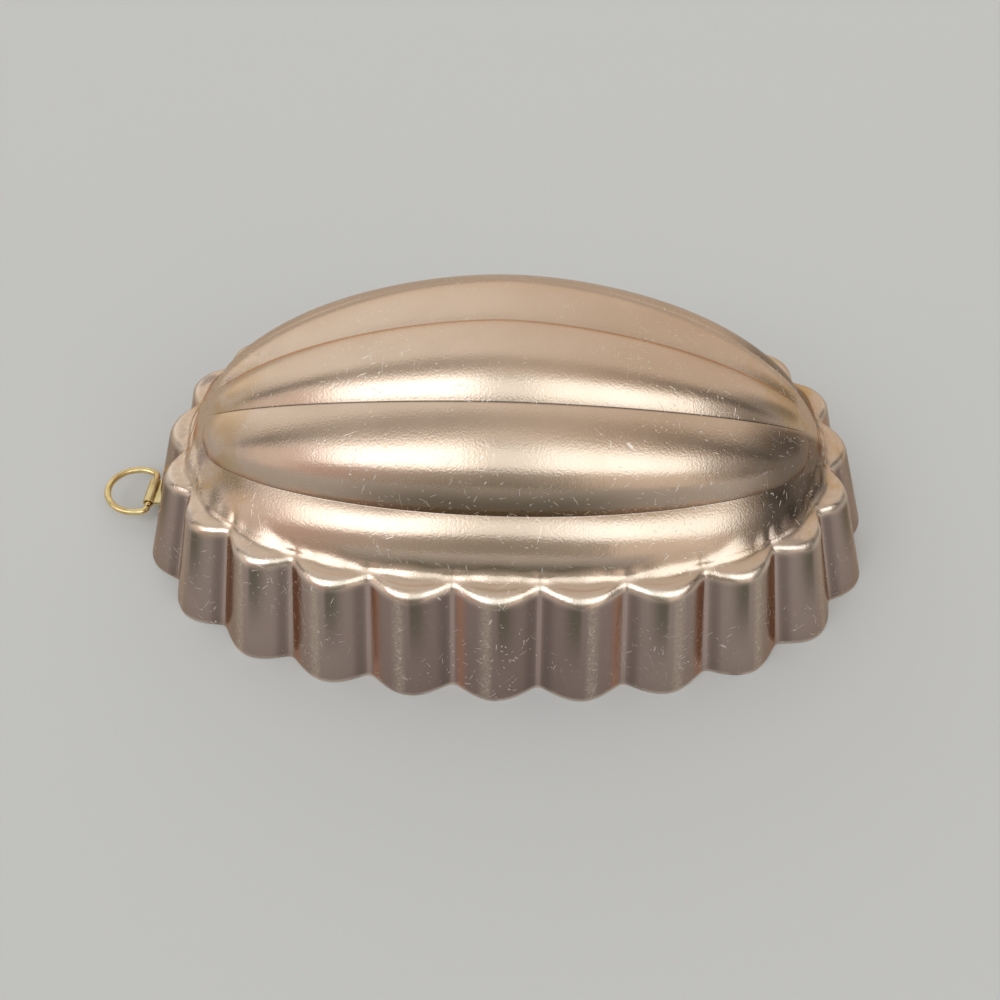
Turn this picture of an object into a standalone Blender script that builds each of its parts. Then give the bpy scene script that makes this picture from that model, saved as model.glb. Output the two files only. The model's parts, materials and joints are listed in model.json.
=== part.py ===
# Oval jelly mould of drawn sheet aluminium: a lobed dome on a fluted skirt, with a wire hanging ring.
# Metres, +Z up. The mould stands on its rim, opening down, and its long axis is X.
# The origin is the bottom centre of the whole object's box, hanging ring included.

import math

import bmesh
import bpy
import numpy as np

# Skirt: the fluted wall that the mould stands on
RIM_LENGTH = 0.2000             # over the flutes at the rim, along X
RIM_WIDTH = 0.1279              # over the flutes at the rim, along Y
OVAL_POWER = 2.353              # 2 is an ellipse, more is squarer
SKIRT_HEIGHT = 0.0299           # rim to ledge
DRAFT_AT_ENDS = math.radians(19.7)
DRAFT_AT_SIDES = math.radians(16.6)
FLUTE_COUNT = 24
FLUTE_DEPTH = 0.0042
VALLEY_ROUNDING_AT_LEDGE = 0.10     # 0 is a sharp valley between two flutes
VALLEY_ROUNDING_AT_RIM = 0.20
SHOULDER_RADIUS = 0.0030        # outer edge of the flute tops
SHOULDER_MOST_OF_LEDGE = 0.8    # where the ledge is narrow, the shoulder takes this share of it
LIP_HEIGHT = 0.0012             # upright edge at the rim

# Ledge and dome
LEDGE_AT_ENDS = 0.0028          # from the dome to a valley between two flutes
LEDGE_AT_SIDES = 0.0033
DOME_OVAL_POWER = 2.476
CREST_HEIGHT = 0.0386           # ledge to the crease along the crest
CREASE_INSET = 0.0052           # how far the creases lie inside the dome's half width
CREASE_ANGLES = (math.radians(19.6), math.radians(58.0), math.radians(90.0))
CREASE_POWERS = (2.044, 1.769, 1.692)   # lengthwise fullness of each crease
LOBE_BULGE = 0.17               # height of a lobe over its chord
LEAST_BULGE = 0.01              # where a lobe is nearly flat
PLAIN_END = 0.0082              # from the dome's end to the ends of the creases
LOBE_TIP_LEAD = 0.0028          # how far a lobe's tip runs past its creases
LOBE_TIP_ROUNDING = 0.0042

SHEET = 0.0008                  # thickness of the drawn sheet

# Hanging ring and the strap that holds it
WIRE_DIAMETER = 0.0018
RING_RADIUS = 0.00805           # to the middle of the wire
RING_CENTRE_OUT = 0.0042        # from the ring's straight side to the middle of its round
RING_CORNER_RADIUS = 0.0020
RING_BUTT_GAP = 0.0004          # where the two ends of the wire meet
RING_REST_TILT = math.radians(7.0)      # above the horizontal
HINGE_HEIGHT = 0.0044           # above the rim
HINGE_ASIDE = -0.0021           # along Y, from the middle of the end flute
STRAP_WIDTH = 0.0084
STRAP_THICKNESS = 0.0005
STRAP_LEAF_GAP = 0.0003         # between the strap's two leaves
STRAP_TAIL = 0.0024             # length of each tail inside the mould
STRAP_BEND_RADIUS = 0.0007
EYE_CLEARANCE = 0.0002          # wire to eye
SLOT_CLEARANCE = 0.0005         # strap to the edges of its slot
SLOT_CUT_PAST_WALL = 3 * SHEET  # how far the slot's cutter runs past the fluted wall
FIT_GAP = 0.0003                # strap to wall

# Fineness of the meshes
STEPS_PER_FLUTE = 6
STEPS_PER_LOBE = 3
SHOULDER_STEPS = 3
CORNER_STEPS = 4                # round each corner of the ring
ROUND_STEPS = 24                # round the ring
EYE_STEPS = 7
BEND_STEPS = 4                  # where a tail turns along the wall
LENGTH_SAMPLES = 6000
SHARP_EDGE = math.radians(35)   # faces that meet at more than this keep a crisp edge

AROUND = FLUTE_COUNT * STEPS_PER_FLUTE
HALF_AROUND = AROUND // 2
WIRE_RADIUS = WIRE_DIAMETER / 2


def oval_samples(half_length, half_width, power):
    """Closely spaced points of an oval, from the -X tip round the front to the +X tip."""
    turn = np.linspace(0.0, math.pi, LENGTH_SAMPLES + 1)
    x = -half_length * np.sign(np.cos(turn)) * np.abs(np.cos(turn)) ** (2 / power)
    y = -half_width * np.abs(np.sin(turn)) ** (2 / power)
    return x, y


def rim_valleys():
    """Evenly spaced points of the line through the valleys at the rim, and its outward normals."""
    half_sizes = (RIM_LENGTH / 2 - FLUTE_DEPTH, RIM_WIDTH / 2 - FLUTE_DEPTH)
    x, y = oval_samples(*half_sizes, OVAL_POWER)
    run = np.concatenate([[0.0], np.cumsum(np.hypot(np.diff(x), np.diff(y)))])
    wanted = np.linspace(0.0, run[-1], HALF_AROUND + 1)
    points = np.stack([np.interp(wanted, run, x), np.interp(wanted, run, y)], axis=1)
    points[[0, -1], 1] = 0.0
    slope = np.sign(points) * np.abs(points / half_sizes) ** (OVAL_POWER - 1) / half_sizes
    return points, slope / np.linalg.norm(slope, axis=1, keepdims=True)


def ledge_valleys():
    """The same points at the ledge. Each flute runs square to the rim and leans in by its draft."""
    points, normals = rim_valleys()
    facing_end = normals[:, :1] ** 2
    draft = facing_end * math.tan(DRAFT_AT_ENDS) + (1 - facing_end) * math.tan(DRAFT_AT_SIDES)
    return points - (SKIRT_HEIGHT - LIP_HEIGHT) * draft * normals


def full_loop(half):
    """The front half, and its mirror image for the back half."""
    back = half[-2:0:-1] * (1.0, -1.0)
    return np.concatenate([half, back])


def flute_wave(rounding):
    """0 in a valley, 1 on the middle of a flute, all round the skirt."""
    flutes_along = np.arange(AROUND) / STEPS_PER_FLUTE
    wave = np.hypot(np.cos(math.pi * flutes_along), rounding)
    return (wave - rounding) / (math.hypot(1.0, rounding) - rounding)


def dome_half_sizes():
    valleys = np.abs(ledge_valleys())
    return valleys[:, 0].max() - LEDGE_AT_ENDS, valleys[:, 1].max() - LEDGE_AT_SIDES


def dome_foot():
    """Foot of the dome on the ledge, each of its points abreast of a point of the valleys' line."""
    x, y = oval_samples(*dome_half_sizes(), DOME_OVAL_POWER)
    valleys = ledge_valleys()
    nearest = np.hypot(valleys[:, :1] - x, valleys[:, 1:] - y).argmin(axis=1)
    foot = np.stack([x[nearest], y[nearest]], axis=1)
    foot[[0, -1], 1] = 0.0
    return foot


def fluted_loop(valleys, rounding):
    """A level line round the flutes, given the front half of the line through its valleys."""
    normals = full_loop(rim_valleys()[1])
    return full_loop(valleys) + FLUTE_DEPTH * flute_wave(rounding)[:, None] * normals


def ledge_corner_loop():
    """Where the flutes would meet the ledge if the shoulder weren't rounded."""
    return fluted_loop(ledge_valleys(), VALLEY_ROUNDING_AT_LEDGE)


def rim_loop():
    return fluted_loop(rim_valleys()[0], VALLEY_ROUNDING_AT_RIM)


def level(points, height):
    return np.column_stack([points, np.full(len(points), height)])


def skirt_rings():
    """Rings of points from the foot of the dome over the ledge and shoulder down to the rim."""
    foot = level(full_loop(dome_foot()), SKIRT_HEIGHT)
    corner = level(ledge_corner_loop(), SKIRT_HEIGHT)
    lip_top = level(rim_loop(), LIP_HEIGHT)
    ledge_run = np.linalg.norm(corner - foot, axis=1, keepdims=True)
    outward = (corner - foot) / ledge_run
    wall = lip_top - corner
    downward = wall / np.linalg.norm(wall, axis=1, keepdims=True)
    cosine = np.sum(outward * downward, axis=1, keepdims=True)
    turn = np.arccos(cosine)
    radius = np.minimum(SHOULDER_RADIUS, SHOULDER_MOST_OF_LEDGE * ledge_run / np.tan(turn / 2))
    start = corner - outward * radius * np.tan(turn / 2)
    bend = (downward - cosine * outward) / np.sin(turn)
    rings = [foot]
    for share in np.linspace(0.0, 1.0, SHOULDER_STEPS + 1):
        angle = share * turn
        rings.append(start + radius * (np.sin(angle) * outward + (1 - np.cos(angle)) * bend))
    rings.append(lip_top)
    rings.append(level(rim_loop(), 0.0))
    return rings


def lengthwise(x, power):
    """1 at mid-length and 0 at the dome's ends."""
    half_length = dome_half_sizes()[0]
    return np.maximum(1 - np.abs(x / half_length) ** power, 0.0) ** (1 / power)


def crease_points(x, foot_y):
    """Section of the dome at x: front foot, front creases, crest, back creases and back foot."""
    half_width = dome_half_sizes()[1] - CREASE_INSET
    front = [(foot_y, 0.0)]
    for angle, power in zip(CREASE_ANGLES, CREASE_POWERS):
        size = lengthwise(x, power)
        front.append((-half_width * math.cos(angle) * size, CREST_HEIGHT * math.sin(angle) * size))
    front = np.array(front)
    front[-1, 0] = 0.0
    return np.concatenate([front, front[-2::-1] * (-1.0, 1.0)])


def arc_between(start, end, rise, shares):
    """Circular arc from start to end that rises by so much to its left."""
    chord = end - start
    length = np.linalg.norm(chord)
    along = chord / length
    out = np.array([-along[1], along[0]])
    radius = (length ** 2 / 4 + rise ** 2) / (2 * rise)
    half_angle = 2 * math.atan2(2 * rise, length)
    angles = (2 * shares - 1) * half_angle
    middle = (start + end) / 2 + out * (rise - radius)
    return middle + radius * (np.sin(angles)[:, None] * along + np.cos(angles)[:, None] * out)


def smooth_between(points, index, shares):
    """Smooth curve through the crease points, from the one at index to the next."""
    start, end = points[index], points[index + 1]
    upright = np.array([0.0, np.linalg.norm(points[1] - points[0])])
    last = len(points) - 1
    leave = (points[index + 1] - points[index - 1]) / 2 if index > 0 else upright
    arrive = (points[index + 2] - points[index]) / 2 if index + 1 < last else -upright
    s = shares[:, None]
    return ((2 * s ** 3 - 3 * s ** 2 + 1) * start + (s ** 3 - 2 * s ** 2 + s) * leave
            + (3 * s ** 2 - 2 * s ** 3) * end + (s ** 3 - s ** 2) * arrive)


def lobe_rise(start, end, is_lowest):
    """Height of a lobe over its chord. The lowest lobes leave the ledge upright."""
    length = np.linalg.norm(end - start)
    rise = LOBE_BULGE * length
    if is_lowest:
        lean = math.atan2(abs(end[0] - start[0]), abs(end[1] - start[1]))
        rise = min(rise, length / 2 * math.tan(lean / 2))
    return max(rise, LEAST_BULGE * length)


def lobe_strength(x, shares):
    """1 along a lobe, dropping bluntly to 0 past its rounded tip."""
    crease_end = dome_half_sizes()[0] - PLAIN_END
    tip = crease_end + LOBE_TIP_LEAD * 4 * shares * (1 - shares)
    past = np.clip((abs(x) - (tip - LOBE_TIP_ROUNDING)) / LOBE_TIP_ROUNDING, 0.0, 1.0)
    return np.sqrt(1 - past ** 2)


def dome_section(x, foot_y):
    """Points over the dome at x, from the front foot to the back foot, as (x, y, z)."""
    knots = crease_points(x, foot_y)
    shares = np.linspace(0.0, 1.0, STEPS_PER_LOBE + 1)
    strength = lobe_strength(x, shares)[:, None]
    lobe_count = len(knots) - 1
    section = [knots[:1]]
    for index in range(lobe_count):
        start, end = knots[index], knots[index + 1]
        rise = lobe_rise(start, end, index in (0, lobe_count - 1))
        lobe = arc_between(start, end, rise, shares)
        plain = smooth_between(knots, index, shares)
        section.append((plain + strength * (lobe - plain))[1:])
    section = np.concatenate(section)
    return np.column_stack([np.full(len(section), x), section[:, 0], section[:, 1] + SKIRT_HEIGHT])


def make_shell_mesh():
    """Outer face of the drawn sheet, open at the rim."""
    shape = bmesh.new()
    rings = [[shape.verts.new(point) for point in ring] for ring in skirt_rings()]
    foot = rings[0]
    for upper, lower in zip(rings, rings[1:]):
        for this in range(AROUND):
            following = (this + 1) % AROUND
            shape.faces.new((upper[this], lower[this], lower[following], upper[following]))
    sections = []
    for index in range(HALF_AROUND + 1):
        front, back = foot[index], foot[-index]
        if index in (0, HALF_AROUND):
            sections.append([front])
            continue
        middle = [shape.verts.new(point) for point in dome_section(front.co.x, front.co.y)[1:-1]]
        sections.append([front, *middle, back])
    for this, following in zip(sections, sections[1:]):
        for step in range(max(len(this), len(following)) - 1):
            if len(this) == 1:
                corners = (this[0], following[step], following[step + 1])
            elif len(following) == 1:
                corners = (this[step], following[0], this[step + 1])
            else:
                corners = (this[step], following[step], following[step + 1], this[step + 1])
            shape.faces.new(corners)
    mesh = bpy.data.meshes.new("mould_shell")
    shape.to_mesh(mesh)
    shape.free()
    mesh.shade_smooth()
    mesh.set_sharp_from_angle(angle=SHARP_EDGE)
    return mesh


def wall_x(y, height):
    """X of the sheet's outer face at the mould's -X end, for a place across and a height."""
    top = ledge_corner_loop()
    share = np.clip((SKIRT_HEIGHT - height) / (SKIRT_HEIGHT - LIP_HEIGHT), 0.0, 1.0)
    line = top + share * (rim_loop() - top)
    near = line[np.arange(STEPS_PER_FLUTE // 2, -STEPS_PER_FLUTE // 2 - 1, -1)]
    return float(np.interp(y, near[:, 1], near[:, 0]))


def wall_lean():
    """How far the end wall runs towards +X for each unit of height."""
    return (wall_x(0.0, HINGE_HEIGHT + STRAP_TAIL) - wall_x(0.0, HINGE_HEIGHT)) / STRAP_TAIL


SLOT_DEPTH = 2 * (FLUTE_DEPTH + SLOT_CUT_PAST_WALL)
EYE_RADIUS = WIRE_RADIUS + EYE_CLEARANCE + STRAP_THICKNESS / 2
EYE_TO_WALL = (EYE_RADIUS + STRAP_THICKNESS / 2 + FIT_GAP) * math.hypot(1.0, wall_lean())
HINGE_X = wall_x(0.0, HINGE_HEIGHT) - EYE_TO_WALL
RING_REACH = RING_CENTRE_OUT + RING_RADIUS
RING_TIP_X = HINGE_X - RING_REACH * math.cos(RING_REST_TILT) - WIRE_RADIUS
MOULD_CENTRE_X = -(RING_TIP_X + RIM_LENGTH / 2) / 2


def ring_path():
    """Middle of the wire, as (out from the hinge, across), from one butt end to the other."""
    corner = RING_CORNER_RADIUS
    corner_across = math.sqrt((RING_RADIUS - corner) ** 2 - (RING_CENTRE_OUT - corner) ** 2)
    tangent = math.atan2(corner_across, corner - RING_CENTRE_OUT)
    path = [(0.0, -corner_across + RING_BUTT_GAP / 2), (0.0, 0.0)]
    for angle in np.linspace(math.pi, tangent, CORNER_STEPS, endpoint=False):
        path.append((corner + corner * math.cos(angle), corner_across + corner * math.sin(angle)))
    for angle in np.linspace(tangent, -tangent, ROUND_STEPS + 1):
        path.append((RING_CENTRE_OUT + RING_RADIUS * math.cos(angle), RING_RADIUS * math.sin(angle)))
    for angle in np.linspace(-math.pi, -tangent, CORNER_STEPS, endpoint=False)[::-1]:
        path.append((corner + corner * math.cos(angle), -corner_across + corner * math.sin(angle)))
    path[-1] = (0.0, -corner_across - RING_BUTT_GAP / 2)
    return path


def strap_leaf(side):
    """Middle of one leaf of the strip in the XZ plane, from the front of the eye to its tail's end.

    The upper leaf has side 1 and the lower leaf, which turns down the wall, has side -1.
    """
    half_gap = (STRAP_LEAF_GAP + STRAP_THICKNESS) / 2
    lean = math.atan(wall_lean())
    far_edge = abs(HINGE_ASIDE) + STRAP_WIDTH / 2
    inner_face = wall_x(far_edge, HINGE_HEIGHT) + SHEET / math.cos(lean)
    tail_x = inner_face + (FIT_GAP + STRAP_THICKNESS / 2) / math.cos(lean)
    neck = math.asin(half_gap / EYE_RADIUS)
    leaf = [(HINGE_X + EYE_RADIUS * math.cos(a), side * EYE_RADIUS * math.sin(a))
            for a in np.linspace(math.pi, neck, EYE_STEPS + 1)]
    radius = STRAP_BEND_RADIUS
    turn = math.pi / 2 - side * lean
    bend_x = tail_x + side * half_gap * math.tan(lean) - radius * math.tan(turn / 2)
    for angle in np.linspace(0.0, turn, BEND_STEPS + 1):
        height = half_gap + radius * (1 - math.cos(angle))
        leaf.append((bend_x + radius * math.sin(angle), side * height))
    end_x, end_z = leaf[-1]
    leaf.append((end_x + side * STRAP_TAIL * math.sin(lean), end_z + side * STRAP_TAIL * math.cos(lean)))
    return leaf


def strap_path():
    """Middle of the strip in the XZ plane, from the end of the lower tail to that of the upper."""
    return strap_leaf(-1)[:0:-1] + strap_leaf(1)


def make_material(name, colour, roughness, metallic):
    material = bpy.data.materials.new(name)
    material.use_nodes = True
    shader = material.node_tree.nodes["Principled BSDF"]
    shader.inputs["Base Color"].default_value = (*colour, 1.0)
    shader.inputs["Roughness"].default_value = roughness
    shader.inputs["Metallic"].default_value = metallic
    return material


def add_object(name, data, collection, parent=None, material=None):
    new = bpy.data.objects.new(name, data)
    collection.objects.link(new)
    new.parent = parent
    if material is not None:
        data.materials.append(material)
    return new


def build_shell(collection, cutters, centre):
    """Drawn sheet with the slot for the strap."""
    copper_tone = make_material("copper_tone_aluminium", (0.72, 0.50, 0.40), 0.28, 1.0)
    shell = add_object("mould_shell", make_shell_mesh(), collection, centre, copper_tone)
    thickness = shell.modifiers.new("sheet", "SOLIDIFY")
    thickness.thickness = SHEET
    thickness.offset = -1.0

    bpy.ops.mesh.primitive_cube_add(size=1.0)
    cutter = bpy.context.active_object
    cutter.name = "strap_slot"
    for old in cutter.users_collection:
        old.objects.unlink(cutter)
    cutters.objects.link(cutter)
    cutter.parent = centre
    slot_height = STRAP_LEAF_GAP + 2 * STRAP_THICKNESS + 2 * SLOT_CLEARANCE
    cutter.scale = (SLOT_DEPTH, STRAP_WIDTH + 2 * SLOT_CLEARANCE, slot_height)
    cutter.location = (wall_x(0.0, HINGE_HEIGHT), HINGE_ASIDE, HINGE_HEIGHT)
    cutter.hide_render = True
    cutter.display_type = "WIRE"

    slot = shell.modifiers.new("slot", "BOOLEAN")
    slot.operation = "DIFFERENCE"
    slot.object = cutter
    slot.solver = "EXACT"


def build_strap(collection, centre):
    """One strip, folded round the ring's straight side, its tails spread inside the mould."""
    brass = make_material("dull_brass", (0.62, 0.50, 0.27), 0.38, 1.0)
    shape = bmesh.new()
    columns = []
    for x, z in strap_path():
        sides = (HINGE_ASIDE - STRAP_WIDTH / 2, HINGE_ASIDE + STRAP_WIDTH / 2)
        columns.append([shape.verts.new((x, y, z + HINGE_HEIGHT)) for y in sides])
    for this, following in zip(columns, columns[1:]):
        shape.faces.new((this[0], this[1], following[1], following[0]))
    mesh = bpy.data.meshes.new("hanger_strap")
    shape.to_mesh(mesh)
    shape.free()
    mesh.shade_smooth()
    mesh.set_sharp_from_angle(angle=SHARP_EDGE)
    strap = add_object("hanger_strap", mesh, collection, centre, brass)
    thickness = strap.modifiers.new("strip", "SOLIDIFY")
    thickness.thickness = STRAP_THICKNESS
    thickness.offset = 0.0
    thickness.use_even_offset = True


def build_ring(collection, centre):
    """D-shaped ring of round wire, on an empty at its hinge."""
    hinge = add_object("ring_hinge", None, collection, centre)
    hinge.location = (HINGE_X, HINGE_ASIDE, HINGE_HEIGHT)
    wire = bpy.data.curves.new("hanging_ring", "CURVE")
    wire.dimensions = "3D"
    wire.bevel_depth = WIRE_RADIUS
    wire.bevel_resolution = 2
    wire.use_fill_caps = True
    path = ring_path()
    spline = wire.splines.new("POLY")
    spline.points.add(len(path) - 1)
    for point, (out, across) in zip(spline.points, path):
        point.co = (-out, across, 0.0, 1.0)
    brass = make_material("bright_brass", (0.78, 0.62, 0.32), 0.30, 1.0)
    ring = add_object("hanging_ring", wire, collection, hinge, brass)
    ring.rotation_euler = (0.0, RING_REST_TILT, 0.0)


def build():
    for old in list(bpy.data.objects):
        bpy.data.objects.remove(old, do_unlink=True)
    collection = bpy.data.collections.new("jelly_mould")
    cutters = bpy.data.collections.new("cutters")
    bpy.context.scene.collection.children.link(collection)
    bpy.context.scene.collection.children.link(cutters)
    centre = add_object("mould_centre", None, collection)
    centre.location = (MOULD_CENTRE_X, 0.0, 0.0)
    build_shell(collection, cutters, centre)
    build_strap(collection, centre)
    build_ring(collection, centre)


build()
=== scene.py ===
import json
import math

import bmesh
import bpy
import numpy as np
from mathutils import Matrix, Vector


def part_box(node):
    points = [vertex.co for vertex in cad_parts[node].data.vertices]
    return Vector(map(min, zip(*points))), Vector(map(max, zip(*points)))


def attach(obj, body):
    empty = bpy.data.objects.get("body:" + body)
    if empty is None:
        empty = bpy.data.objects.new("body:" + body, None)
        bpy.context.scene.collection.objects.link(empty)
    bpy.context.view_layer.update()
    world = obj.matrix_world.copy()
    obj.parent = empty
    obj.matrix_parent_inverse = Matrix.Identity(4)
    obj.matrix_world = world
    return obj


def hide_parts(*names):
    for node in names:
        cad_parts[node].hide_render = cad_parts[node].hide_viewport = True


# Looks of an oval jelly mould: fine meshes, materials, light and camera round the fixed frame.
# Metres, +Z up, in the frame's own axes. The photograph was taken from the -Y side.

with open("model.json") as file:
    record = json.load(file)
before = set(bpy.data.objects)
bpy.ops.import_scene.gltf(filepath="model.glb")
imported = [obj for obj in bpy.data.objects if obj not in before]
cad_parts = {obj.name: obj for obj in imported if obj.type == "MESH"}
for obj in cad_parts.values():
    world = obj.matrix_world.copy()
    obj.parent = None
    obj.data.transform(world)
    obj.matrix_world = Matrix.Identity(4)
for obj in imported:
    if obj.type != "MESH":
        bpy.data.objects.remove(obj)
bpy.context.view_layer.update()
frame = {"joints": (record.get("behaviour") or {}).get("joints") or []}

# Read from the frame
SHELL_LOW, SHELL_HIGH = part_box("mould_shell")
HINGE = Vector(frame["joints"][0]["pos_m"])
MOULD_CENTRE_X = (SHELL_LOW[0] + SHELL_HIGH[0]) / 2
RIM_LENGTH = SHELL_HIGH[0] - SHELL_LOW[0]
RIM_WIDTH = SHELL_HIGH[1] - SHELL_LOW[1]

# Skirt
OVAL_POWER = 2.353
SKIRT_HEIGHT = 0.0299
DRAFT_AT_ENDS = math.radians(19.7)
DRAFT_AT_SIDES = math.radians(16.6)
FLUTE_COUNT = 24
FLUTE_DEPTH = 0.0042
VALLEY_ROUNDING_AT_LEDGE = 0.10
VALLEY_ROUNDING_AT_RIM = 0.20
SHOULDER_RADIUS = 0.0042
LIP_HEIGHT = 0.0012

# Ledge and dome
LEDGE_AT_ENDS = 0.0028
LEDGE_AT_SIDES = 0.0033
FOOT_RADIUS = 0.0052  # hollow between the ledge and the dome
HOLLOW_MOST_OF_LEDGE = 0.58  # its share of the ledge where that is narrow
SHOULDER_MOST_OF_LEDGE = 0.40
VALLEY_SLOPE = math.radians(27)  # how steeply the ledge falls into a valley
SLOPE_REACH = 0.75  # height of the flute wave at which the ledge is level
DOME_OVAL_POWER = 2.476
CREST_HEIGHT = 0.0386
CREASE_INSET = 0.0052
CREASE_ANGLES = (math.radians(19.6), math.radians(58.0), math.radians(90.0))
CREASE_POWERS = (2.044, 1.769, 1.692)
CREASE_CUT = 0.00035  # how far the rounding of a crease reaches to each side
CREASE_CUT_MOST = 0.45  # and the most that it takes of the way to the next point
LOBE_BULGES = (0.17, 0.183, 0.175)  # rise over the chord: lowest, middle and crest lobe
LEAST_BULGE = 0.01
LOWEST_BULGE_LOSS = 0.80  # how much flatter the lowest lobe is at the dome's ends
LOWEST_LOBE_FALL = 0.20  # how much its top falls forward there
FALL_HALF_LENGTH = 0.055  # where that has grown to its full
MIDDLE_BULGE_GAINS = (0.025, -0.015)  # gain of the front and the back middle lobe at mid-length
MIDDLE_HALF_LENGTH = 0.054  # where that has faded out
MIDDLE_LOBE_SAG = 0.020  # the middle lobe is fuller low down by this share of its chord
CREST_LOBE_FLAT = 0.12  # how much flatter the crest lobes are beside the crest
PLAIN_END = 0.0082  # length of the dome's tip past the creases
LOBE_TIP_LEAD = 0.0028  # how far a lobe's tip runs on past the creases beside it
LOBE_TIP_ROUNDING = 0.0042

SHEET = 0.0008
CUT_EDGE_RADIUS = 0.0002  # corners of the trimmed rim

# Grime and painted shade
CREASE_SIDE_GRIME_AND_SHADE = 0.4  # grime and painted shade beside a crease, against 1 in it
CREST_GRIME_AND_SHADE = 0.2  # grime and painted shade along the crest's crease, against 1 in the others
SHADE_REACH = 0.42  # share of a lobe, from its lower end, that gets painted shade
SHADE_START = 0.2  # the painted shade starts at this share of the hollow's height
SHADE_RUN = 0.5  # and has its full strength this much further up
COLUMNS_CENTRE = RIM_LENGTH / 20  # the skirt's painted columns mirror about this X

# Ring and strap
WIRE_RADIUS = 0.0009
WIRE_END_RADIUS = 0.00018  # rounding of the wire's cut ends
RING_RADIUS = 0.00805
RING_CENTRE_OUT = 0.0042  # from the hinge to the middle of the ring's bow
RING_CORNER_RADIUS = 0.0020
RING_BUTT_GAP = 0.0004
RING_REST_TILT = math.radians(7.0)
STRAP_WIDTH = 0.0084
STRAP_THICKNESS = 0.0005
STRAP_LEAF_GAP = 0.0003
STRAP_TAIL = 0.0024
STRAP_BEND_RADIUS = 0.0007
STRAP_EDGE_RADIUS = 0.00012
EYE_CLEARANCE = 0.0002
SLOT_CLEARANCE = 0.0005
SLOT_CORNER_RADIUS = 0.0005
FIT_GAP = 0.0003  # between the strap's tails and the sheet

# Fineness of the meshes
STEPS_PER_FLUTE = 28
VALLEY_CROWDING = 0.5  # 0 spaces the points evenly, 1 crowds them into the valleys
STEPS_PER_LOBE = 18
LOBE_END_CROWDING = 0.6
DOME_SHARE_OF_HOLLOW = 0.5  # the part of the hollow that the dome's sections make
FOOT_STEPS = 6
LEDGE_STEPS = 3
SHOULDER_STEPS = 9
WALL_STEPS = 10
LIP_STEPS = 2
CUT_EDGE_STEPS = 3
INSIDE_STRIDE = 3  # the inside keeps every third row
LENGTH_SAMPLES = 40000
SLOT_CORNER_STEPS = 4
WIRE_SIDES = 32
WIRE_END_STEPS = 4
RING_STRAIGHT_STEPS = 12
RING_CORNER_STEPS = 12
RING_BOW_STEPS = 96
EYE_STEPS = 21
NECK_PLACES = (0.04, 0.15, 0.5, 0.85, 0.96)  # along the strap from its eye to the bend
BEND_STEPS = 8
TAIL_STEPS = 4
STRAP_EDGE_STEPS = 3
FLOOR_SIDES = 96

AROUND = FLUTE_COUNT * STEPS_PER_FLUTE
HALF_AROUND = AROUND // 2
LOWEST_LOBE, MIDDLE_LOBE, CREST_LOBE = range(3)  # numbers of the lobes on each side

# Where the looks change: distances from mid-length, then heights
MID_LENGTH = (0.012, 0.050)
DOME_ENDS = (0.050, 0.082)
RIGHT_TIPS = (0.053, 0.070)
SKIRT_TOP = (0.0265, 0.0296)
PAINTED_SHADE_COLUMNS = (0.006, 0.026)
RUBBED_RIM = (0.0006, 0.0016)

# Scratches: size of the cells that can each hold one, length, width, share of cells, shift
BRASS_SCRATCHES = (0.0022, 0.0012, 0.00003, 0.5, 0.7)
SHEET_SCRATCHES = (  # and how strong they are
    (0.0160, 0.0085, 0.00004, 0.35, 0.31, 0.5),
    (0.0060, 0.0032, 0.00008, 0.45, 1.7, 0.7),
    (0.0026, 0.0013, 0.00011, 0.60, 2.9, 1.0),
    (0.0013, 0.0005, 0.00012, 0.45, 4.1, 1.0),
)

# Colours
ROSE = (0.72, 0.56, 0.445)
DEEP_ROSE = (0.67, 0.515, 0.40)
OCHRE_STAIN = (0.62, 0.41, 0.19)
BROWN_STAIN = (0.34, 0.27, 0.25)
# Painted shade low on the lobes
LOBE_PAINTED_SHADE = (0.14, 0.115, 0.078)
# Tarnish with painted shade on the lobes' right tips
TIP_TARNISH_AND_SHADE = (0.15, 0.112, 0.092)
# The skirt is painted darker than the dome, as painted shade, most at mid-length
SKIRT_PAINTED_SHADE_AT_ENDS = (0.42, 0.325, 0.285)
SKIRT_PAINTED_SHADE_AT_MIDDLE = (0.33, 0.245, 0.22)
# Painted columns on the flutes: highlight, shade, reflection, shade, and a highlight in the valleys
PAINTED_HIGHLIGHT_COLUMN = (0.74, 0.63, 0.49)
PAINTED_SHADE_COLUMN = (0.165, 0.14, 0.10)
PAINTED_REFLECTION_COLUMN = (0.50, 0.265, 0.18)
PAINTED_SHADE_BROWN_COLUMN = (0.20, 0.15, 0.13)
PAINTED_HIGHLIGHT_IN_VALLEY = (0.62, 0.48, 0.43)
# Grime and painted shade in the creases
CREASE_GRIME_AND_SHADE = (0.10, 0.07, 0.055)
RUBBED_EDGE = (0.90, 0.80, 0.70)
SCRATCHED_SHEET = (0.98, 0.93, 0.85)
DULL_BRASS = ((0.78, 0.65, 0.35), (0.54, 0.41, 0.20))  # clean and tarnished
BRIGHT_BRASS = ((0.85, 0.69, 0.35), (0.66, 0.48, 0.23))
SCRATCHED_BRASS = (0.95, 0.85, 0.60)
EDGE_TINT = (0.88, 0.74, 0.62)  # what the metals reflect at a glancing angle
FLOOR_GREY = (0.6, 0.6, 0.6)
ROOM_SIDES = (0.55, 0.54, 0.52)
WHITE = (1.0, 1.0, 1.0)

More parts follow.
